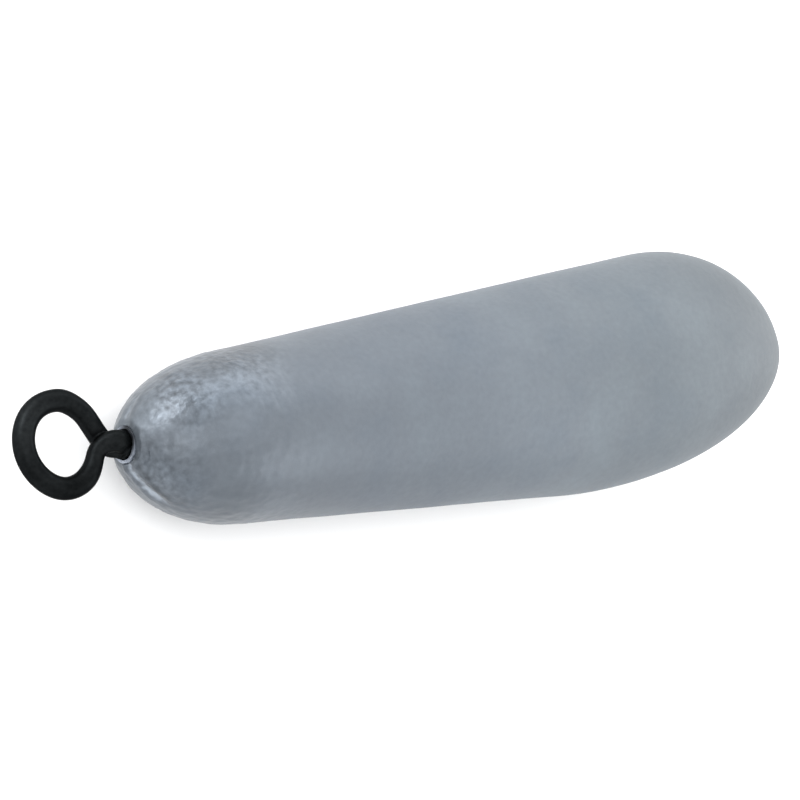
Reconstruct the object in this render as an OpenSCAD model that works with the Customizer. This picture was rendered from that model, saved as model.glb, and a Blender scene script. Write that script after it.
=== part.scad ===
// Swivel casting sinker: an oval, tapered lead with a barrel swivel cast into its round nose.
// The sinker lies on its broad underside. +X runs from the line eye to the heel of the lead,
// +Y across the lead in the plane where the two halves of the mould met, and +Z up.

/* [Lead] */
// Length of the cast lead from nose to heel
lead_l = 59.3; // [54:0.1:66]
// Width of the lead at the heel, along the parting plane of the mould
lead_w = 16.6; // [15:0.1:19]
// Thickness of the lead at the heel, square to the parting plane
lead_h = 13.4; // [12.8:0.1:15]
// Radius of the round nose that holds the swivel
nose_r = 6; // [5.4:0.1:6.4]
// Length over which the nose rounds off
nose_l = 9.5; // [7:0.5:11]
// How far the tip of the nose stands towards the fuller edge
nose_shift = 0.3; // [0:0.05:0.5]
// Length of the shoulder on the fuller edge of the heel
short_shoulder_l = 11; // [8:0.5:14]
// Length of the shoulder on the leaner edge of the heel
long_shoulder_l = 19; // [15:0.5:22]

/* [Swivel seat] */
// How far the swivel sits off the lead's axis at the nose, towards the fuller edge
seat_y = 0.7; // [0.1:0.05:0.9]
// Lean of the swivel from the length of the lead, in degrees
seat_lean = 8.5; // [0:0.5:9.5]

/* [Swivel barrel] */
// Length of the barrel between its two swaged mouths
barrel_l = 8.6; // [7.8:0.2:10]
// Outer diameter of the barrel
barrel_d = 4.4; // [4.2:0.1:4.8]
// Wall of the barrel along its middle
barrel_wall = 0.4; // [0.3:0.05:0.45]
// Wall of the swaged mouth round the shank
mouth_wall = 0.2; // [0.16:0.02:0.3]
// Length of each swaged mouth
mouth_l = 0.7; // [0.5:0.1:0.9]
// Length of the taper between a mouth and the full barrel
taper_l = 0.9; // [0.7:0.1:1.2]
// Depth of the front mouth below the tip of the nose
mouth_depth = 0.1; // [0:0.02:0.16]

/* [Wire eyes] */
// Diameter of the blackened wire
wire_d = 1.5; // [1.3:0.05:1.6]
// Inner diameter of the line eye
eye_inner_d = 4.35; // [4.1:0.05:4.9]
// Distance from the tip of the nose to the middle of the line eye
eye_reach = 4.95; // [4.85:0.05:5.6]
// Distance from the tip of the nose to the place where the two legs cross
cross_reach = 1.7; // [1.5:0.05:1.8]
// How far that crossing stands off the swivel's axis, towards the fuller edge
cross_shift = 0.5; // [0:0.05:0.6]
// How far each leg has risen out of the plane of the eye where it leaves the curve
leg_rise = 0.16; // [0.1:0.02:0.3]
// Turn of the two legs about each other at the mouth, in degrees
leg_turn = 20; // [0:5:45]
// Diameter of the shank that the two legs are pressed into
shank_d = 2.05; // [1.95:0.05:2.2]
// Diameter of the head that holds each shank in the barrel
head_d = 3.3; // [2.9:0.05:3.35]
// Length of that head
head_l = 1.3; // [1:0.1:1.6]
// Inner diameter of the anchor eye inside the lead
anchor_inner_d = 3.2; // [2.6:0.1:3.8]
// Distance from the barrel's rear mouth to the middle of the anchor eye
anchor_reach = 3; // [2.7:0.1:3.6]

/* [Fits] */
// Radial running clearance of the shank in the barrel's mouth
run_gap = 0.06; // [0.03:0.01:0.08]
// Space between the barrel's mouth and the place where the legs join the shank
leg_gap = 0.3; // [0.25:0.05:0.4]
// Height at which each leg passes over the other, before the two are pressed together
leg_pass = 1.1; // [0.95:0.05:1.2]

/* [Smoothness] */
// Sides of each cross-section of the lead, a multiple of four
lead_sides = 56; // [40:4:64]
// How many of those sides lie in one plane, as the flat that the sinker rests on
flat_sides = 3; // [1:2:5]
// Sides of the bent wire
wire_sides = 20; // [16:4:24]

/* [Hidden] */

lead_colour = [0.57, 0.6, 0.64];
barrel_colour = [0.72, 0.73, 0.74];
wire_colour = [0.11, 0.115, 0.12];

nose_steps = 14;
flank_steps = 6;
heel_steps = 18;
arc_steps = 30;
leg_steps = 14;
slope_tries = 12;
revolve_fn = 64;

heel_half_w = lead_w / 2;
heel_half_h = lead_h / 2;
mean_shoulder_l = (short_shoulder_l + long_shoulder_l) / 2;

// Height, over the middle of an ellipse, of the line of slope m that touches it
function touch(length, half, m) = sqrt(pow(length * m, 2) + pow(half, 2));

// Slope of the straight flank that touches the round nose and the elliptic shoulder
function flank_slope(half, shoulder, m = 0, tries = slope_tries) =
    tries < 1 ? m : flank_slope(half, shoulder,
        (touch(shoulder, half, m) - touch(nose_l, nose_r, m)) / (lead_l - shoulder - nose_l), tries - 1);

// Height of that flank's line above the axis at the tip of the nose
function flank_start(m) = touch(nose_l, nose_r, m) - m * nose_l;

// Half breadth of the lead at a station x: round nose, straight flank, elliptic shoulder
function half_at(x, half, shoulder, m) =
    let (nose_end = nose_l - pow(nose_l, 2) * m / touch(nose_l, nose_r, m),
         centre = lead_l - shoulder,
         flank_end = centre - pow(shoulder, 2) * m / touch(shoulder, half, m))
    x < nose_end ? nose_r * sqrt(max(0, 1 - pow((x - nose_l) / nose_l, 2)))
    : x < flank_end ? m * x + flank_start(m)
    : half * sqrt(max(0, 1 - pow((x - centre) / shoulder, 2)));

full_slope = flank_slope(heel_half_w, short_shoulder_l);
lean_slope = flank_slope(heel_half_w, long_shoulder_l);
thick_slope = flank_slope(heel_half_h, mean_shoulder_l);

// Stations along the lead, closer together on the nose and the heel
heel_start = lead_l - long_shoulder_l;
stations = concat(
    [for (i = [1 : nose_steps]) nose_l * (1 - cos(90 * i / nose_steps))],
    [for (i = [1 : flank_steps]) nose_l + (heel_start - nose_l) * i / flank_steps],
    [for (i = [1 : heel_steps - 1]) heel_start + long_shoulder_l * sin(90 * i / heel_steps)]);

// How far the section at a station x stands towards the fuller edge
function shift_at(x) = nose_shift * pow(max(0, 1 - x / nose_l), 2);

// Depth of the flat underside below the axis at a station x
flat_share = cos(180 * flat_sides / lead_sides);
function flat_depth(x) = flat_share * (thick_slope * x + flank_start(thick_slope));

function section(x) =
    let (full = half_at(x, heel_half_w, short_shoulder_l, full_slope),
         lean = half_at(x, heel_half_w, long_shoulder_l, lean_slope),
         thick = half_at(x, heel_half_h, mean_shoulder_l, thick_slope))
    [for (j = [0 : lead_sides - 1])
        let (a = 360 * (j + 0.5) / lead_sides)
        [x, shift_at(x) + (cos(a) > 0 ? full : lean) * cos(a), max(thick * sin(a), -flat_depth(x))]];

// How the sinker lies: its flat underside is level
lie_angle = atan(thick_slope * flat_share);
lie_z = flat_depth(0) * cos(lie_angle);
eye_mid_r = (eye_inner_d + wire_d) / 2;
eye_front = eye_reach * cos(seat_lean) + eye_inner_d / 2 + wire_d;
lie_x = (eye_front - lead_l) / 2 * cos(lie_angle);

barrel_r = barrel_d / 2;
mouth_r = shank_d / 2 + run_gap;
lip_r = mouth_r + mouth_wall;
cavity_r = barrel_r - barrel_wall;
barrel_end = mouth_depth + barrel_l;
head_start = mouth_depth + mouth_l + taper_l;
shank_start = leg_gap - mouth_depth;
anchor_mid_r = (anchor_inner_d + wire_d) / 2;
anchor_shank_end = barrel_end + anchor_reach - anchor_inner_d / 2 - wire_d / 2;

module lay() {
    translate([lie_x, 0, lie_z])
        rotate([0, -lie_angle, 0])
            children();
}

// Places a swivel piece: its own +X runs into the lead from the tip of the nose
module seat() {
    translate([0, seat_y, 0])
        rotate([0, 0, -seat_lean])
            children();
}

// A round piece about the swivel's axis, from [radius, distance] points
module turned(points) {
    rotate([0, 90, 0])
        rotate_extrude($fn = revolve_fn)
            polygon(points);
}

// Outside of the barrel, with its front mouth starting at a given place
module barrel_skin(front) {
    turned([
        [0, front],
        [lip_r, front],
        [lip_r, mouth_depth + mouth_l],
        [barrel_r, head_start],
        [barrel_r, barrel_end - mouth_l - taper_l],
        [lip_r, barrel_end - mouth_l],
        [lip_r, barrel_end],
        [0, barrel_end]]);
}

module barrel_hollow() {
    turned([
        [0, -wire_d],
        [mouth_r, -wire_d],
        [mouth_r, mouth_depth + mouth_l],
        [cavity_r, head_start],
        [cavity_r, barrel_end - mouth_l - taper_l],
        [mouth_r, barrel_end - mouth_l],
        [mouth_r, barrel_end + wire_d],
        [0, barrel_end + wire_d]]);
}

// Shank and head of one eye; its own +X runs from the eye into the barrel
module shank(from, head_from) {
    turned([
        [0, from],
        [shank_d / 2, from],
        [shank_d / 2, head_from],
        [head_d / 2, head_from],
        [head_d / 2, head_from + head_l],
        [0, head_from + head_l]]);
}

module anchor_wire() {
    translate([barrel_end + anchor_reach, 0, 0])
        rotate_extrude($fn = revolve_fn)
            translate([anchor_mid_r, 0])
                circle(d = wire_d, $fn = wire_sides);
}

module lead_skin() {
    rings = len(stations);
    tip = rings * lead_sides;
    heel = tip + 1;
    points = concat(
        [for (x = stations) each section(x)],
        [[0, nose_shift, 0], [lead_l, 0, 0]]);
    function at(i, j) = i * lead_sides + j % lead_sides;
    faces = concat(
        [for (j = [0 : lead_sides - 1]) [tip, at(0, j), at(0, j + 1)]],
        [for (i = [0 : rings - 2], j = [0 : lead_sides - 1]) each [
            [at(i, j), at(i + 1, j), at(i + 1, j + 1)],
            [at(i, j), at(i + 1, j + 1), at(i, j + 1)]]],
        [for (j = [0 : lead_sides - 1]) [heel, at(rings - 1, j + 1), at(rings - 1, j)]]);
    polyhedron(points, faces);
}

module lead_body() {
    color(lead_colour)
        lay()
            difference() {
                lead_skin();
                seat() {
                    barrel_skin(-wire_d);
                    turned([
                        [0, barrel_end],
                        [shank_d / 2, barrel_end],
                        [shank_d / 2, anchor_shank_end],
                        [0, anchor_shank_end]]);
                    anchor_wire();
                }
            }
}

module swivel_barrel() {
    color(barrel_colour)
        lay()
            seat()
                difference() {
                    barrel_skin(mouth_depth);
                    barrel_hollow();
                }
}

module anchor_eye() {
    color(wire_colour)
        lay()
            seat()
                union() {
                    translate([barrel_end + mouth_depth, 0, 0])
                        mirror([1, 0, 0])
                            shank(barrel_end + mouth_depth - anchor_shank_end, head_start);
                    anchor_wire();
                }
}

// Half of the line eye's wire: round the curve from its far side, then over the other leg
// and into the shank. The other half is the same, turned over, with its crossing on the other side.
cross_x = eye_reach - cross_reach;
leg_offset = shank_d / 2 - wire_d / 2;
join = [-shank_start, leg_offset * sin(leg_turn), leg_offset * cos(leg_turn)];
hold_share = 0.35;
join_lead = [-hold_share * cross_reach, 0, leg_pass - leg_offset * cos(leg_turn)];
ease_share = 0.95;

// Angle, from the swivel's axis, at which a leg leaves the curve for the crossing
function leave_angle(cross_y) =
    acos(eye_mid_r / norm([cross_x, cross_y])) - atan2(cross_y, cross_x);

function arc_point(i, leave) =
    let (share = i / arc_steps, a = 180 + (180 - leave) * share)
    [-eye_reach + eye_mid_r * cos(a), eye_mid_r * sin(a), leg_rise * pow(share, 2)];

function leg_point(i, leave, cross_y) =
    let (s = i / leg_steps,
         p0 = arc_point(arc_steps, leave),
         climb = 2 * leg_rise / (eye_mid_r * PI * (180 - leave) / 180),
         reach = sqrt(pow(cross_x, 2) + pow(cross_y, 2) - pow(eye_mid_r, 2)),
         p1 = p0 + ease_share * reach * [sin(leave), cos(leave), climb],
         p2 = join + join_lead)
    pow(1 - s, 3) * p0 + 3 * pow(1 - s, 2) * s * p1 + 3 * (1 - s) * pow(s, 2) * p2 + pow(s, 3) * join;

function wire_path(cross_y) =
    let (leave = leave_angle(cross_y))
    concat(
        [for (i = [0 : arc_steps]) arc_point(i, leave)],
        [for (i = [1 : leg_steps]) leg_point(i, leave, cross_y)]);

module bent_half(cross_y) {
    path = wire_path(cross_y);
    last = len(path) - 1;
    function heading(i) =
        i == 0 ? [0, -1, 0]
        : i == last ? [1, 0, 0]
        : (path[i + 1] - path[i - 1]) / norm(path[i + 1] - path[i - 1]);
    function side(i) = cross(heading(i), [0, 0, 1]) / norm(cross(heading(i), [0, 0, 1]));
    first_mid = (last + 1) * wire_sides;
    last_mid = first_mid + 1;
    points = concat(
        [for (i = [0 : last], j = [0 : wire_sides - 1])
            let (a = 360 * (j + 0.5) / wire_sides, s = side(i))
            path[i] + wire_d / 2 * (cos(a) * s + sin(a) * cross(heading(i), s))],
        [path[0], path[last]]);
    function at(i, j) = i * wire_sides + j % wire_sides;
    faces = concat(
        [for (j = [0 : wire_sides - 1]) [first_mid, at(0, j), at(0, j + 1)]],
        [for (i = [0 : last - 1], j = [0 : wire_sides - 1]) each [
            [at(i, j), at(i + 1, j), at(i + 1, j + 1)],
            [at(i, j), at(i + 1, j + 1), at(i, j + 1)]]],
        [for (j = [0 : wire_sides - 1]) [last_mid, at(last, j + 1), at(last, j)]]);
    polyhedron(points, faces);
}

module line_eye() {
    color(wire_colour)
        lay()
            seat()
                union() {
                    bent_half(cross_shift);
                    rotate([180, 0, 0])
                        bent_half(-cross_shift);
                    shank(-shank_start, head_start);
                }
}

lead_body();
swivel_barrel();
anchor_eye();
line_eye();
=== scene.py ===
import math

import bpy
from mathutils import Matrix, Vector, noise


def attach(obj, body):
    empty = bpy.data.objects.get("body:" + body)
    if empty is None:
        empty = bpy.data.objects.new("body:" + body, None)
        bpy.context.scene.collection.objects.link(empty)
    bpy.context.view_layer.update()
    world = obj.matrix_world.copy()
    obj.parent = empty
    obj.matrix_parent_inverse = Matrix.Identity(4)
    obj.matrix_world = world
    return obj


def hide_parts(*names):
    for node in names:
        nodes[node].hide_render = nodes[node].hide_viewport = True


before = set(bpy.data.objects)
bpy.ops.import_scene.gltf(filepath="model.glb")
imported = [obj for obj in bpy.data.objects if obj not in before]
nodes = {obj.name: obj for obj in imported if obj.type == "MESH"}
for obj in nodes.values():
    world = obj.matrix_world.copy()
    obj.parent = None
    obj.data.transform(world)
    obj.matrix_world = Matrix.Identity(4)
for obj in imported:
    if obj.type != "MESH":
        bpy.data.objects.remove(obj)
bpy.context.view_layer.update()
mm = 0.001
print("frame loaded")


# In the dictionaries, sizes and places are in millimetres and angles in degrees. Only what
# a node takes as it stands is in metres.
def fade(value, start, end):
    # Falls smoothly from 1 at the start to 0 at the end
    share = min(1, max(0, (value - start) / (end - start)))
    return 1 - share * share * (3 - 2 * share)


def bell(value, middle, reach):
    return math.exp(-((value - middle) / reach) ** 2)


def meshOf(name, points, faces):
    mesh = bpy.data.meshes.new(name)
    mesh.from_pydata([tuple(p) for p in points], [], faces)
    mesh.polygons.foreach_set("use_smooth", [True] * len(mesh.polygons))
    mesh.update()
    piece = bpy.data.objects.new(name, mesh)
    bpy.context.scene.collection.objects.link(piece)
    return piece


def closedTube(rings, startPoint, endPoint, offset=0):
    # Quads between rings, with a fan of triangles at each end. The faces point outwards
    # where the rings run counterclockwise, seen from the end.
    sides, points, faces = len(rings[0]), [], []
    for ring in rings:
        points += ring
    points += [startPoint, endPoint]
    start, end = offset + len(points) - 2, offset + len(points) - 1
    for i in range(len(rings) - 1):
        low, high = offset + i * sides, offset + (i + 1) * sides
        faces += [(low + (j + 1) % sides, high + (j + 1) % sides, high + j, low + j)
                  for j in range(sides)]
    top = offset + (len(rings) - 1) * sides
    faces += [(start, offset + (j + 1) % sides, offset + j) for j in range(sides)]
    faces += [(end, top + j, top + (j + 1) % sides) for j in range(sides)]
    return points, faces


def linear(code):
    parts = [int(code[i:i + 2], 16) / 255 for i in (1, 3, 5)]
    return [p / 12.92 if p < 0.04045 else ((p + 0.055) / 1.055) ** 2.4 for p in parts] + [1]


def setInputs(tree, node, inputs):
    # Each input takes a plain value or another node's output
    for name, value in inputs.items():
        if isinstance(value, bpy.types.NodeSocket):
            tree.links.new(value, node.inputs[name])
        else:
            node.inputs[name].default_value = value
    return node


def addNode(tree, kind, inputs=None, stops=(), **settings):
    # Stops are places and colours for a ramp
    node = tree.nodes.new(kind)
    for name, value in settings.items():
        setattr(node, name, value)
    for _ in stops[2:]:
        node.color_ramp.elements.new(0.5)
    for i, (at, colour) in enumerate(stops):
        node.color_ramp.elements[i].position, node.color_ramp.elements[i].color = at, colour
    return setInputs(tree, node, inputs or {})


def newMaterial(name):
    material = bpy.data.materials.new(name)
    material.use_nodes = True
    tree = material.node_tree
    tree.nodes.clear()
    shader = addNode(tree, "ShaderNodeBsdfPrincipled")
    output = addNode(tree, "ShaderNodeOutputMaterial", {"Surface": shader.outputs["BSDF"]})
    output.is_active_output = True
    return material, tree, shader


def softSpot(tree, place, middle, radius, inner, outer):
    # One value in the middle of a round spot, and another from its radius on
    ends = {0: place, 1: [c * mm for c in middle]}
    away = addNode(tree, "ShaderNodeVectorMath", ends, operation="DISTANCE")
    limits = {"From Min": 0, "From Max": radius * mm, "To Min": inner, "To Max": outer}
    spot = addNode(tree, "ShaderNodeMapRange", {"Value": away.outputs["Value"], **limits},
                   interpolation_type="SMOOTHSTEP")
    return spot.outputs["Result"]


def tinted(tree, colour, factors):
    for factor in factors:
        layer = addNode(tree, "ShaderNodeVectorMath", {0: colour, 1: factor}, operation="MULTIPLY")
        colour = layer.outputs["Vector"]
    return colour


# Round spots that lighten or darken a colour: painted light and painted shade
def paintLightSpots(tree, place, colour, paintedLightSpots):
    return tinted(tree, colour, [softSpot(tree, place, middle, radius, tone, 1)
                                 for middle, radius, tone in paintedLightSpots])


def wear(piece, material):
    piece.data.materials.clear()
    piece.data.materials.append(material)


lead = {
    # Shape, the same as in the CAD source; the lead's own +X runs from nose to heel
    "length": 59.3,
    "width": 16.6,           # across the heel, in the parting plane of the mould
    "height": 13.4,          # across the heel, square to that plane
    "noseRadius": 6.0,       # across the lead
    "noseLength": 9.5,
    "noseShift": 0.3,        # the tip stands this far towards the fuller edge
    "shortShoulder": 11.0,   # fuller edge of the heel
    "longShoulder": 19.0,    # leaner edge
    "flatAngle": 9.643,      # half the arc that the flat underside cuts off
    "lift": 0.01,            # lowest height above the floor
    "seatSide": 0.7,         # where the swivel comes out, and how it leans
    "seatLean": 8.5,
    "mouth": 1.275,          # radius of the swivel's mouth
    "socket": (              # radius and depth of the hollow that the barrel fills
        (1.275, 0.8), (2.19, 1.7), (2.19, 7.1), (1.275, 8.0), (1.275, 8.7),
    ),
    # Fineness of the mesh
    "sides": 350,
    "crowding": 0.6,         # how much closer the sides stand along the seam
    "noseRows": 80,
    "noseEnd": 82,           # angle round the nose that these rows reach
    "levelFrom": 60,         # angle round the nose where rings stand square to the lead
    "flankRows": 92,         # fine rows, as far as the hammered skin reaches
    "fineEnd": 18.0,
    "bodyRows": 42,
    "heelRows": 50,
    # Hammered skin on the nose, and slow waves from the cooling metal all over
    "dimpleSize": 0.85,
    "dimpleDepth": 0.036,
    "dimpleFiner": (0.6, 1.9),    # strength and fineness of a second layer
    "dimpleFade": (6.0, 16.0),
    "waveSize": 5.5,
    "waveDepth": 0.03,       # they stand out of the plain shape
    "waveFiner": (0.5, 2.3),
    # Parting line: a shallow groove with a low lip above and below it
    "seamDepth": 0.12,
    "seamWidth": 0.32,
    "seamReach": 5,          # in seam widths
    "seamSide": 0.2,         # height above the lead's middle
    "seamWander": (0.12, 0.8),    # how far it strays, and waves in a millimetre
    "seamFade": (1.2, 3.1),
    "seamMean": 0.85,        # its strength, and what breaks it up: share and waves in a millimetre
    "seamBreaks": ((0.8, 0.9), (0.6, 3.3)),
    "seamFull": 0.35,        # strength on the fuller edge
    "lipPlace": 2,           # in seam widths from its middle
    "lipShare": 0.5,         # height of the lips as a share of its depth
    "lipShade": 0.7,          # painted shade, a darker line along the upper one
    # Short folds and a raised ring round the swivel's mouth
    "mouthReach": 3,         # how far from the tip they may lie
    "foldDepth": 0.03,
    "foldSpacing": 0.62,
    "foldWander": (0.3, 1.1),
    "foldReach": (2.0, 4.4),
    "foldAcross": (-0.6, 0.8),    # fading out towards the fuller edge
    "foldUp": (0, 0.8),      # and growing from the seam upwards
    "collarHeight": 0.06,
    "collarRadius": 1.75,
    "collarWidth": 0.25,
    # Finish. The scale of each pattern is 1 over its size, and the grain is drawn
    # coarse enough to show.
    "clouds": {"Scale": 1 / (6.5 * mm), "Detail": 4.0, "Roughness": 0.55},
    "grain": {"Scale": 1 / (0.5 * mm), "Detail": 3.0, "Roughness": 0.6},
    # Fine hammer marks, in the shading only
    "flecks": {"Scale": 1 / (0.42 * mm), "Detail": 2.0, "Roughness": 0.45},
    "tones": (               # stained, plain and thin skin: dull blue-grey
        (0.32, linear("#5E666F")), (0.5, linear("#636A72")), (0.7, linear("#676F77")),
    ),
    # Along the part's own X the heel is duller and less blue
    "shadeEnds": {"From Min": -25 * mm, "From Max": 34 * mm},
    "shade": (
        (0, (0.8, 0.8, 0.8, 1)), (0.2, (0.86, 0.86, 0.86, 1)), (0.45, (0.95, 0.95, 0.94, 1)),
        (0.75, (1.02, 1.02, 0.975, 1)), (0.95, (0.845, 0.83, 0.785, 1)),
    ),
    # Satin nose, dull behind
    "gloss": {"From Min": -19 * mm, "From Max": -4 * mm, "To Min": 0.3, "To Max": 0.52},
    "grainGloss": 0.12,
    "grainDepth": 0.012,
    "metallic": 0.5,
    "fleckDepth": 0.08,
    "fleckTone": 2.3,        # how much they change the colour: partly the marks' own tone, partly painted glints
    "fleckRest": 0.08,       # their strength outside the spots
    "fleckSpots": (          # place, reach and strength in the middle
        ((-24.5, -2.0, 7.0), 5.0, 0.65),
        ((-22.0, 3.2, 9.0), 4.4, 0.95),
        ((-17.5, 4.6, 9.5), 5.0, 0.7),
    ),
    # Painted highlight in the parting line, and painted shade on the lip above it
    "seamHighlight": ((0.2, linear("#000000")), (0.7, linear("#70767D"))),
    "seamShade": {"From Min": -0.5, "From Max": 0, "To Min": 0.6, "To Max": 1},
    "paintedLightSpots": (              # place, radius and tone in the middle; painted light and shade
        ((-23.6, 2.4, 8.6), 2.0, 1.18),    # painted highlight on the hammered skin, from the mouth up along the nose
        ((-24.2, 1.1, 8.5), 1.6, 1.17),
        ((-21.9, 2.9, 9.6), 1.8, 0.84),
        ((-21.3, 2.3, 10.2), 2.2, 1.32),
        ((-19.0, 2.4, 11.0), 3.0, 1.32),
        ((-16.7, 2.7, 11.2), 3.4, 1.15),
        ((-18.7, 5.0, 8.7), 3.0, 0.74),    # painted shade above it
        ((-21.6, 4.7, 7.3), 1.1, 0.72),
        ((-15.2, 5.7, 7.9), 3.4, 0.64),
        ((-10.7, 5.3, 9.4), 5.0, 0.93),
        ((-19.6, -5.0, 7.9), 4.0, 0.75),   # painted light and shade on the leaner side of the nose
        ((-22.7, -4.0, 6.6), 2.4, 0.86),
        ((-21.1, -3.6, 9.3), 3.4, 1.05),
        ((-21.3, 0.2, 10.7), 2.6, 0.93),
        ((-24.7, 0.2, 8.0), 0.9, 0.84),    # painted shade beside the mouth
        ((-12.9, -5.6, 8.6), 7.0, 0.92),
        ((8.0, -5.1, 11.3), 9.0, 1.1),     # broad lighter and darker patches on the body and the heel
        ((3.5, -0.4, 12.7), 9.0, 1.04),
        ((29.0, 1.1, 11.6), 9.0, 0.9),
    ),
}
slopeRounds = 12    # enough for the slope of a flank to settle


# Each outline is a round nose and a round shoulder, joined by a straight flank that touches both
def touch(length, half, slope):
    return math.hypot(length * slope, half)


def flankSlope(half, shoulder):
    noseLength, noseRadius, slope = lead["noseLength"], lead["noseRadius"], 0
    for _ in range(slopeRounds):
        slope = ((touch(shoulder, half, slope) - touch(noseLength, noseRadius, slope))
                 / (lead["length"] - shoulder - noseLength))
    return slope


def flankStart(slope):
    return touch(lead["noseLength"], lead["noseRadius"], slope) - slope * lead["noseLength"]


def halfAt(x, outline):
    half, shoulder, slope = outline
    noseLength, noseRadius, centre = lead["noseLength"], lead["noseRadius"], lead["length"] - shoulder
    if x < noseLength - noseLength ** 2 * slope / touch(noseLength, noseRadius, slope):
        return noseRadius * math.sqrt(max(0, 1 - (x / noseLength - 1) ** 2))
    if x < centre - shoulder ** 2 * slope / touch(shoulder, half, slope):
        return slope * x + flankStart(slope)
    return half * math.sqrt(max(0, 1 - ((x - centre) / shoulder) ** 2))


def outlineFor(breadth, shoulder):
    return breadth / 2, shoulder, flankSlope(breadth / 2, shoulder)


fullEdge = outlineFor(lead["width"], lead["shortShoulder"])
leanEdge = outlineFor(lead["width"], lead["longShoulder"])
thickness = outlineFor(lead["height"], (lead["shortShoulder"] + lead["longShoulder"]) / 2)
heelStart = lead["length"] - lead["longShoulder"]
flatShare = math.cos(math.radians(lead["flatAngle"]))


def shiftAt(x):
    return lead["noseShift"] * max(0, 1 - x / lead["noseLength"]) ** 2


def ringAt(x, angles):
    full, lean, thick = (halfAt(x, outline) for outline in (fullEdge, leanEdge, thickness))
    floor = -flatShare * (thickness[2] * x + flankStart(thickness[2]))
    return [Vector((x, shiftAt(x) + (full if math.cos(a) > 0 else lean) * math.cos(a),
                    max(thick * math.sin(a), floor))) for a in angles]


def noseRing(polar, mouthPolar, angles, seat):
    # Rings start square to the swivel and end square to the length of the lead.
    # They are found on a ball, which is then stretched to the length of the nose.
    radius = lead["noseRadius"]
    stretch = Matrix.Diagonal((lead["noseLength"] / radius, 1, 1))
    squeeze = stretch.inverted()
    centre = Vector((radius, 0, 0))
    plain = 1 - fade(polar, mouthPolar, math.radians(lead["levelFrom"]))
    along = (squeeze @ seat.to_3x3() @ Vector((1, 0, 0))).normalized()
    ring = []
    for a in angles:
        straight = Vector((-math.cos(polar), math.sin(polar) * math.cos(a),
                           math.sin(polar) * math.sin(a)))
        if plain < 1:
            reach = radius * math.sin(polar)
            start = seat @ Vector((0, reach * math.cos(a), reach * math.sin(a)))
            start.y -= shiftAt(start.x)
            start = squeeze @ start - centre
            middle = start.dot(along)
            slide = -middle - math.sqrt(max(0, middle ** 2 - start.length_squared + radius ** 2))
            tilted = (start + slide * along).normalized()
            straight = tilted.lerp(straight, plain).normalized()
        place = stretch @ (centre + radius * straight)
        place.y += shiftAt(place.x)
        ring.append(place)
    return ring


def leadRings(seat):
    sides, socket = lead["sides"], lead["socket"]
    turns = [2 * math.pi * j / sides for j in range(sides)]
    angles = [t - lead["crowding"] / 2 * math.sin(2 * t) for t in turns]
    rings = [[seat @ Vector((depth, radius * math.cos(a), radius * math.sin(a))) for a in angles]
             for radius, depth in reversed(socket)]
    hidden = len(rings)
    first = math.asin(lead["mouth"] / lead["noseRadius"])
    last = math.radians(lead["noseEnd"])
    rows = lead["noseRows"]
    rings += [noseRing(first + (last - first) * i / rows, first, angles, seat)
              for i in range(rows + 1)]
    start = lead["noseLength"] * (1 - math.cos(last))
    stations = [start + (lead["fineEnd"] - start) * i / lead["flankRows"]
                for i in range(1, lead["flankRows"] + 1)]
    stations += [lead["fineEnd"] + (heelStart - lead["fineEnd"]) * i / lead["bodyRows"]
                 for i in range(1, lead["bodyRows"] + 1)]
    stations += [heelStart + lead["longShoulder"] * math.sin(math.pi / 2 * i / lead["heelRows"])
                 for i in range(1, lead["heelRows"])]
    return rings + [ringAt(x, angles) for x in stations], hidden


def seamAt(p):
    # Strength of the parting line's groove at a point, and of the lips beside it
    strength, width = fade(p.x, *lead["seamFade"]), lead["seamWidth"]
    wander, waves = lead["seamWander"]
    side = p.z - lead["seamSide"] - wander * noise.noise(p * waves)
    if strength <= 0 or abs(side) > lead["seamReach"] * width:
        return 0, 0
    breaks = sum(share * noise.noise(p * waves) for share, waves in lead["seamBreaks"])
    strength *= max(0, lead["seamMean"] + breaks)
    strength *= lead["seamFull"] if p.y > 0 else 1
    return strength * bell(side, 0, width), strength * bell(abs(side), lead["lipPlace"] * width, width)


def twoNoises(p, finer):
    share, times = finer
    return noise.noise(p) + share * noise.noise(p * times)


def skinDepth(p, toSeat):
    # How far the cast skin lies below the plain shape at a point
    hammered = fade(p.x, *lead["dimpleFade"])
    depth = 0
    if hammered > 0:
        depth += hammered * lead["dimpleDepth"] * twoNoises(p / lead["dimpleSize"], lead["dimpleFiner"])
    depth += lead["waveDepth"] * (twoNoises(p / lead["waveSize"], lead["waveFiner"]) - 1)
    groove, lips = seamAt(p)
    depth += lead["seamDepth"] * (groove - lead["lipShare"] * lips)
    away = math.hypot(*(toSeat @ p).yz)
    if p.x < lead["mouthReach"] and away < lead["foldReach"][1]:
        wander, waves = lead["foldWander"]
        ripple = math.sin(2 * math.pi * (away + wander * noise.noise(p * waves)) / lead["foldSpacing"])
        side = fade(p.y, *lead["foldAcross"]) * (1 - fade(p.z, *lead["foldUp"]))
        depth += lead["foldDepth"] * ripple * fade(away, *lead["foldReach"]) * side
        depth -= lead["collarHeight"] * bell(away, lead["collarRadius"], lead["collarWidth"])
    return depth


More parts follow.
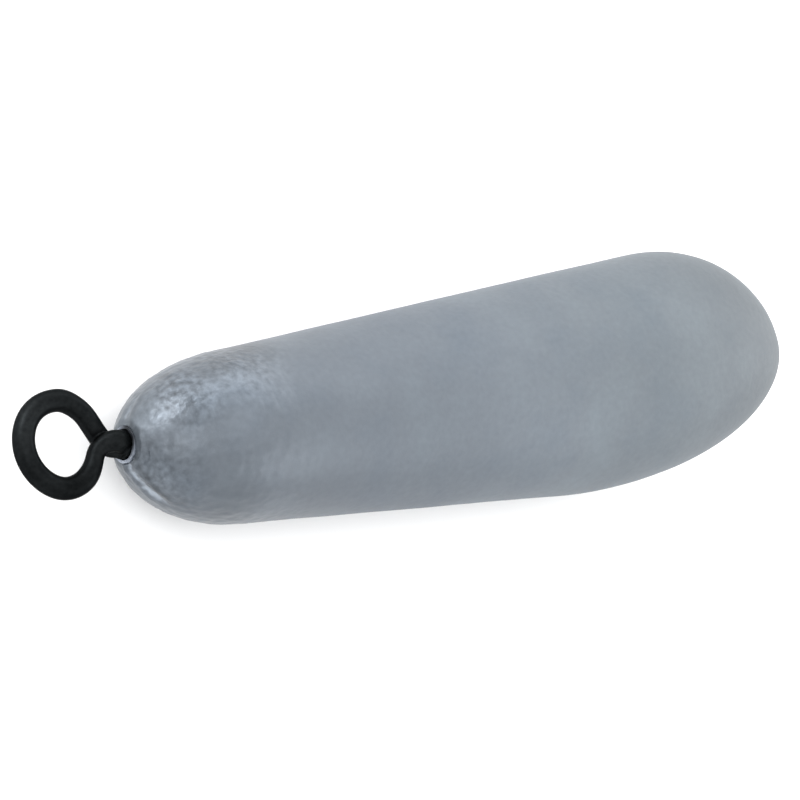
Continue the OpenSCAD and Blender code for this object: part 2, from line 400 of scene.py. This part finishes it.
def makeLead(lay, seat):
    rings, hidden = leadRings(seat)
    sides = len(rings[0])
    tip = Vector((lead["length"], 0, 0))
    inner = seat @ Vector((lead["socket"][-1][1], 0, 0))
    points, faces = closedTube(rings, inner, tip)
    piece = meshOf("leadCasting", points, faces)
    toSeat = seat.inverted()
    fixed = (hidden + 1) * sides    # the socket and the edge of the mouth keep their shape
    normals = [v.normal.copy() for v in piece.data.vertices]
    line = piece.data.attributes.new("partingLine", "FLOAT", "POINT")
    for i, v in enumerate(piece.data.vertices):
        p = v.co.copy()
        if fixed <= i < len(points) - 2:
            groove, lips = seamAt(p)
            # The attribute carries a painted highlight in the groove and painted shade along the upper
            # lip
            line.data[i].value = groove - (lead["lipShade"] * lips if p.z > lead["seamSide"] else 0)
            p -= normals[i] * skinDepth(p, toSeat)
        p = lay @ p
        v.co = Vector((p.x, p.y, max(p.z, lead["lift"]))) * mm
    piece.data.update()
    return piece


def castLead():
    # Dull blue-grey casting: cloudy tone, satin and hammered on the chilled nose, duller at the heel,
    # with painted highlights and painted shade in spots and along the parting line
    material, tree, shader = newMaterial("asCastLead")
    place = addNode(tree, "ShaderNodeTexCoord").outputs["Object"]
    along = addNode(tree, "ShaderNodeSeparateXYZ", {"Vector": place}).outputs["X"]
    line = addNode(tree, "ShaderNodeAttribute", attribute_name="partingLine").outputs["Fac"]
    clouds, grain, flecks = (
        addNode(tree, "ShaderNodeTexNoise", {"Vector": place, **lead[name]}).outputs["Fac"]
        for name in ("clouds", "grain", "flecks")
    )

    strength = lead["fleckRest"]
    for middle, reach, share in lead["fleckSpots"]:
        spot = softSpot(tree, place, middle, reach, share, lead["fleckRest"])
        larger = addNode(tree, "ShaderNodeMath", {0: strength, 1: spot}, operation="MAXIMUM")
        strength = larger.outputs["Value"]
    centred = addNode(tree, "ShaderNodeMath", {0: flecks, 1: 0.5}, operation="SUBTRACT").outputs["Value"]
    hammered = addNode(tree, "ShaderNodeMath", {0: centred, 1: strength},
                       operation="MULTIPLY").outputs["Value"]
    # Colour of the hammer marks: their own tone, and painted glints
    mottleAndGlints = addNode(tree, "ShaderNodeMath", {0: hammered, 1: lead["fleckTone"], 2: 1},
                     operation="MULTIPLY_ADD").outputs["Value"]

    tone = addNode(tree, "ShaderNodeValToRGB", {"Fac": clouds}, lead["tones"]).outputs["Color"]
    station = addNode(tree, "ShaderNodeMapRange", {"Value": along, **lead["shadeEnds"]}).outputs["Result"]
    shade = addNode(tree, "ShaderNodeValToRGB", {"Fac": station}, lead["shade"]).outputs["Color"]
    # Painted shade on the lip above the parting line, and a painted highlight in it
    seamShade = addNode(tree, "ShaderNodeMapRange", {"Value": line, **lead["seamShade"]}).outputs["Result"]
    skin = paintLightSpots(tree, place, tinted(tree, tone, (shade, mottleAndGlints, seamShade)), lead["paintedLightSpots"])
    seamHighlight = addNode(tree, "ShaderNodeValToRGB", {"Fac": line}, lead["seamHighlight"]).outputs["Color"]
    seamLit = addNode(tree, "ShaderNodeVectorMath", {0: skin, 1: seamHighlight}, operation="ADD")

    dull = addNode(tree, "ShaderNodeMapRange", {"Value": along, **lead["gloss"]}).outputs["Result"]
    rough = addNode(tree, "ShaderNodeMath", {0: grain, 1: lead["grainGloss"], 2: dull},
                    operation="MULTIPLY_ADD")
    marks = addNode(tree, "ShaderNodeBump", {"Height": hammered, "Distance": lead["fleckDepth"] * mm,
                                             "Strength": 1.0})
    relief = addNode(tree, "ShaderNodeBump", {"Height": grain, "Distance": lead["grainDepth"] * mm,
                                              "Strength": 1.0, "Normal": marks.outputs["Normal"]})
    setInputs(tree, shader, {
        "Base Color": seamLit.outputs["Vector"],
        "Roughness": rough.outputs["Value"],
        "Normal": relief.outputs["Normal"],
        "Metallic": lead["metallic"],
    })
    return material


eye = {
    # Shape, the same as in the CAD source
    "wire": 1.5,
    "innerDiameter": 4.35,
    "reach": 4.95,           # tip of the nose to the middle of the eye
    "crossReach": 1.7,       # tip of the nose to the crossing of the legs
    "crossShift": 0.5,       # off the swivel's axis, towards the fuller edge
    "rise": 0.16,            # of each leg out of the eye's plane, where it leaves the round
    "turn": 20,              # of the legs about each other at the mouth
    "passHeight": 1.1,       # how high one leg aims in passing the other
    "holdShare": 0.35,       # how far a leg keeps the shank's direction, of crossReach
    "easeShare": 0.95,       # and the direction in which it left the round
    "shank": 2.05,           # diameter of the shank that both legs are pressed into
    "shankStart": 0.2,       # before the tip of the nose
    "head": 3.3,             # diameter of the head that holds the shank in the barrel
    "headStart": 1.7,        # behind the tip of the nose
    "headLength": 1.3,
    # Fineness of the mesh
    "sides": 40,
    "arcSteps": 90,
    "legSteps": 40,
    "voxel": 0.045,
    "softening": (0.5, 8),   # factor and rounds
    "swell": 0.032,          # added to the wire's radius, which softening takes off again
    # Marks of the pliers: place along the wire from the far end of the eye, reach,
    # share wider, and how far the wire stands out of its round
    "upperMarks": ((8.25, 1.3, -0.19, -0.2), (4.6, 1.6, 0.02, 0.13)),
    "lowerMarks": ((8.0, 2.0, -0.06, 0.05), (5.0, 0.8, 0.02, 0.06)),
    # Finish
    # Marks of the wire's drawing, coarse enough to show
    "drawn": {"Scale": 1 / (0.35 * mm), "Detail": 3.0, "Roughness": 0.6},
    "tones": ((0.3, linear("#141617")), (0.7, linear("#1D1F20"))),
    "paintedLightSpots": (
        ((-32.6, 3.2, 6.2), 2.8, 1.55),    # painted sheen along the curve
        # painted shade on the lower part of the loop
        ((-30.3, -1.8, 5.6), 2.6, 0.42),
        ((-33.0, 0.0, 5.6), 1.8, 0.65),
    ),
    "gloss": {"To Min": 0.36, "To Max": 0.5},
    "drawnDepth": 0.006,
    "edgeTint": (0.5, 0.5, 0.5, 1),    # how bright it turns where it is seen edge-on
}


def wirePath(crossSide):
    # One half of the wire, from the far end of the eye to the shank, in the swivel's own frame
    middle = (eye["innerDiameter"] + eye["wire"]) / 2
    crossX = eye["reach"] - eye["crossReach"]
    span = math.hypot(crossX, crossSide)
    leave = math.degrees(math.acos(middle / span) - math.atan2(crossSide, crossX))
    offset, turn = (eye["shank"] - eye["wire"]) / 2, math.radians(eye["turn"])
    join = Vector((-eye["shankStart"], offset * math.sin(turn), offset * math.cos(turn)))
    hold = Vector((-eye["holdShare"] * eye["crossReach"], 0, eye["passHeight"] - offset * math.cos(turn)))

    def arc(share):
        a = math.radians(180 + (180 - leave) * share)
        return Vector((-eye["reach"] + middle * math.cos(a), middle * math.sin(a),
                       eye["rise"] * share ** 2))

    start = arc(1)
    climb = 2 * eye["rise"] / (middle * math.radians(180 - leave))
    reach = math.sqrt(span ** 2 - middle ** 2)
    away = Vector((math.sin(math.radians(leave)), math.cos(math.radians(leave)), climb))
    first, second = start + eye["easeShare"] * reach * away, join + hold
    path = [arc(i / eye["arcSteps"]) for i in range(eye["arcSteps"] + 1)]
    for i in range(1, eye["legSteps"] + 1):
        s = i / eye["legSteps"]
        path.append((1 - s) ** 3 * start + 3 * (1 - s) ** 2 * s * first
                    + 3 * (1 - s) * s ** 2 * second + s ** 3 * join)
    return path


def wireRings(path, marks):
    rings, last, along = [], len(path) - 1, 0
    hollow = Vector((-eye["reach"], 0, 0))
    turns = [2 * math.pi * (j + 0.5) / eye["sides"] for j in range(eye["sides"])]
    for i, p in enumerate(path):
        heading = (Vector((0, -1, 0)) if i == 0 else Vector((1, 0, 0)) if i == last
                   else (path[i + 1] - path[i - 1]).normalized())
        side = heading.cross(Vector((0, 0, 1))).normalized()
        up = heading.cross(side)
        along += (p - path[i - 1]).length if i else 0
        wider = sum(share * bell(along, at, reach) for at, reach, share, _ in marks)
        outward = sum(shift * bell(along, at, reach) for at, reach, _, shift in marks)
        radius = eye["wire"] / 2 * (1 + wider) + eye["swell"]
        middle = p + outward * (p - hollow).normalized()
        rings.append([middle + radius * (math.cos(t) * side + math.sin(t) * up) for t in turns])
    return rings


def wireHalf(crossSide, marks, turned):
    path = wirePath(crossSide)
    rings = [[turned @ p for p in ring] for ring in wireRings(path, marks)]
    return rings, turned @ path[0], turned @ path[-1]


def headedShank():
    start, shoulder, end = -eye["shankStart"], eye["headStart"], eye["headStart"] + eye["headLength"]
    profile = ((eye["shank"] / 2, start), (eye["shank"] / 2, shoulder),
               (eye["head"] / 2, shoulder), (eye["head"] / 2, end))
    turns = [2 * math.pi * j / eye["sides"] for j in range(eye["sides"])]
    rings = [[Vector((x, r * math.cos(t), r * math.sin(t))) for t in turns] for r, x in profile]
    return rings, Vector((start, 0, 0)), Vector((end, 0, 0))


def makeEye(place):
    # Both halves and the shank are welded by a voxel remesh, then softened
    over = Matrix.Rotation(math.pi, 4, "X")
    tubes = (wireHalf(eye["crossShift"], eye["upperMarks"], Matrix.Identity(4)),
             wireHalf(-eye["crossShift"], eye["lowerMarks"], over), headedShank())
    points, faces = [], []
    for rings, start, end in tubes:
        tubePoints, tubeFaces = closedTube(rings, start, end, len(points))
        points += tubePoints
        faces += tubeFaces
    piece = meshOf("lineEyeWire", [place @ p for p in points], faces)
    remesh = piece.modifiers.new("weld", "REMESH")
    remesh.mode, remesh.voxel_size, remesh.use_smooth_shade = "VOXEL", eye["voxel"] * mm, True
    soften = piece.modifiers.new("soften", "SMOOTH")
    soften.factor, soften.iterations = eye["softening"]
    graph = bpy.context.evaluated_depsgraph_get()
    mesh = bpy.data.meshes.new_from_object(piece.evaluated_get(graph), depsgraph=graph)
    piece.modifiers.clear()
    piece.data = mesh
    mesh.name = "lineEyeWire"
    return piece


def blackNickelWire():
    # Near-black satin plating, with a painted sheen along the curve and painted shade below
    material, tree, shader = newMaterial("blackNickelWire")
    place = addNode(tree, "ShaderNodeTexCoord").outputs["Object"]
    drawn = addNode(tree, "ShaderNodeTexNoise", {"Vector": place, **eye["drawn"]}).outputs["Fac"]
    tone = addNode(tree, "ShaderNodeValToRGB", {"Fac": drawn}, eye["tones"]).outputs["Color"]
    rough = addNode(tree, "ShaderNodeMapRange", {"Value": drawn, **eye["gloss"]})
    marks = addNode(tree, "ShaderNodeBump", {"Height": drawn, "Distance": eye["drawnDepth"] * mm,
                                             "Strength": 1.0})
    setInputs(tree, shader, {
        "Base Color": paintLightSpots(tree, place, tone, eye["paintedLightSpots"]),
        "Roughness": rough.outputs["Result"],
        "Normal": marks.outputs["Normal"],
        "Metallic": 1.0,
        "Specular Tint": eye["edgeTint"],
    })
    return material


# How the lead lies on its flat underside, and where the swivel sits in it
lieAngle = math.atan(thickness[2] * flatShare)
lieHeight = flatShare * flankStart(thickness[2]) * math.cos(lieAngle)
seatLean = math.radians(lead["seatLean"])
eyeFront = eye["reach"] * math.cos(seatLean) + eye["innerDiameter"] / 2 + eye["wire"]
lieShift = (eyeFront - lead["length"]) / 2 * math.cos(lieAngle)
lay = Matrix.Translation((lieShift, 0, lieHeight)) @ Matrix.Rotation(-lieAngle, 4, "Y")
seat = Matrix.Translation((0, lead["seatSide"], 0)) @ Matrix.Rotation(-seatLean, 4, "Z")

leadCasting = makeLead(lay, seat)
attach(leadCasting, "sinker")
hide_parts("lead_body")
wear(leadCasting, castLead())
print("lead made:", len(leadCasting.data.vertices), "points")

lineEye = makeEye(Matrix.Scale(mm, 4) @ lay @ seat)
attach(lineEye, "eye")
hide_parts("line_eye")
wireFinish = blackNickelWire()
wear(lineEye, wireFinish)
wear(nodes["anchor_eye"], wireFinish)
print("line eye made:", len(lineEye.data.vertices), "points")


barrel = {
    "tarnish": {"Scale": 1 / (0.4 * mm), "Detail": 3.0, "Roughness": 0.6},
    "tones": ((0.35, linear("#959CA8")), (0.65, linear("#AEB5C0"))),
    "gloss": {"To Min": 0.5, "To Max": 0.65},
    "paintedLightSpots": (              # painted shade where the wire's foot shades the rim
        ((-25.12, 1.7, 6.3), 1.3, 0.15),
        ((-25.25, 0.9, 6.9), 1.1, 0.2),
    ),
}


def dulledNickel():
    # Plated brass, its shine broken by the heat of the pour
    material, tree, shader = newMaterial("dulledNickelPlate")
    place = addNode(tree, "ShaderNodeTexCoord").outputs["Object"]
    tarnish = addNode(tree, "ShaderNodeTexNoise", {"Vector": place, **barrel["tarnish"]}).outputs["Fac"]
    tone = addNode(tree, "ShaderNodeValToRGB", {"Fac": tarnish}, barrel["tones"]).outputs["Color"]
    rough = addNode(tree, "ShaderNodeMapRange", {"Value": tarnish, **barrel["gloss"]})
    setInputs(tree, shader, {
        "Base Color": paintLightSpots(tree, place, tone, barrel["paintedLightSpots"]),
        "Roughness": rough.outputs["Result"],
        "Metallic": 1.0,
    })
    return material


wear(nodes["swivel_barrel"], dulledNickel())
print("swivel dressed")


board = {"reach": 3000, "colour": "#F4F4F4", "roughness": 0.9, "specular": 0.1}


def paleBoard():
    # Plain matte studio board
    material, tree, shader = newMaterial("paleStudioFloor")
    setInputs(tree, shader, {
        "Base Color": linear(board["colour"]),
        "Roughness": board["roughness"],
        "Specular IOR Level": board["specular"],
    })
    return material


reach = board["reach"] * mm
corners = [(-reach, -reach, 0), (reach, -reach, 0), (reach, reach, 0), (-reach, reach, 0)]
floor = meshOf("floor", corners, [(0, 1, 2, 3)])
wear(floor, paleBoard())
print("floor laid")


light = {
    "lamps": {               # place, width and height, watts; each points at the origin
        "key": ((-20, 350, 130), (560, 150), 0.55),
        "nose": ((-220, 250, 105), (220, 130), 0.425),
        "heel": ((160, 120, 130), (120, 120), 0.103),
        "fill": ((250, -250, 220), (350, 260), 0.443),
        "side": ((380, 0, 120), (260, 160), 0.55),
        "top": ((0, 0, 420), (260, 260), 0.25),
        "front": ((-300, 0, 420), (220, 220), 0.425),
    },
    "world": "#FFFFFF",
    "worldStrength": 1.3,
}


def softLight(name, place, size, watts):
    lamp = bpy.data.lights.new(name, "AREA")
    lamp.shape, lamp.size, lamp.size_y, lamp.energy = "RECTANGLE", size[0] * mm, size[1] * mm, watts
    piece = bpy.data.objects.new(name, lamp)
    bpy.context.scene.collection.objects.link(piece)
    piece.location = Vector(place) * mm
    piece.rotation_mode = "QUATERNION"
    piece.rotation_quaternion = (-piece.location).to_track_quat("-Z", "Y")


for name, lamp in light["lamps"].items():
    softLight(name + "Light", *lamp)
world = bpy.data.worlds.new("paleStudio")
world.use_nodes = True
background = world.node_tree.nodes["Background"]
background.inputs["Color"].default_value = linear(light["world"])
background.inputs["Strength"].default_value = light["worldStrength"]
bpy.context.scene.world = world
bpy.context.scene.view_settings.view_transform = "Standard"
print("lights set")


view = {
    "aim": (-1.06, 0.56, 6.0),
    "azimuth": -173.79,
    "elevation": 50.586,
    "roll": 72.539,
    "distance": 353.2,
    "lens": 225,
    "sensor": 36,
    "clip": (10, 20000),
}


def placeCamera():
    azimuth, elevation, roll = (math.radians(view[k]) for k in ("azimuth", "elevation", "roll"))
    back = Vector((math.cos(elevation) * math.cos(azimuth),
                   math.cos(elevation) * math.sin(azimuth), math.sin(elevation)))
    level = Vector((0, 0, 1)).cross(back).normalized()
    right = level * math.cos(roll) + back.cross(level) * math.sin(roll)
    camera = bpy.data.cameras.new("photoView")
    camera.lens, camera.sensor_width = view["lens"], view["sensor"]
    camera.clip_start, camera.clip_end = (c * mm for c in view["clip"])
    piece = bpy.data.objects.new("photoView", camera)
    bpy.context.scene.collection.objects.link(piece)
    turn = Matrix((right, back.cross(right), back)).transposed()
    spot = (Vector(view["aim"]) + back * view["distance"]) * mm
    piece.matrix_world = Matrix.Translation(spot) @ turn.to_4x4()
    bpy.context.scene.camera = piece


placeCamera()
print("camera set")

bpy.context.view_layer.update()
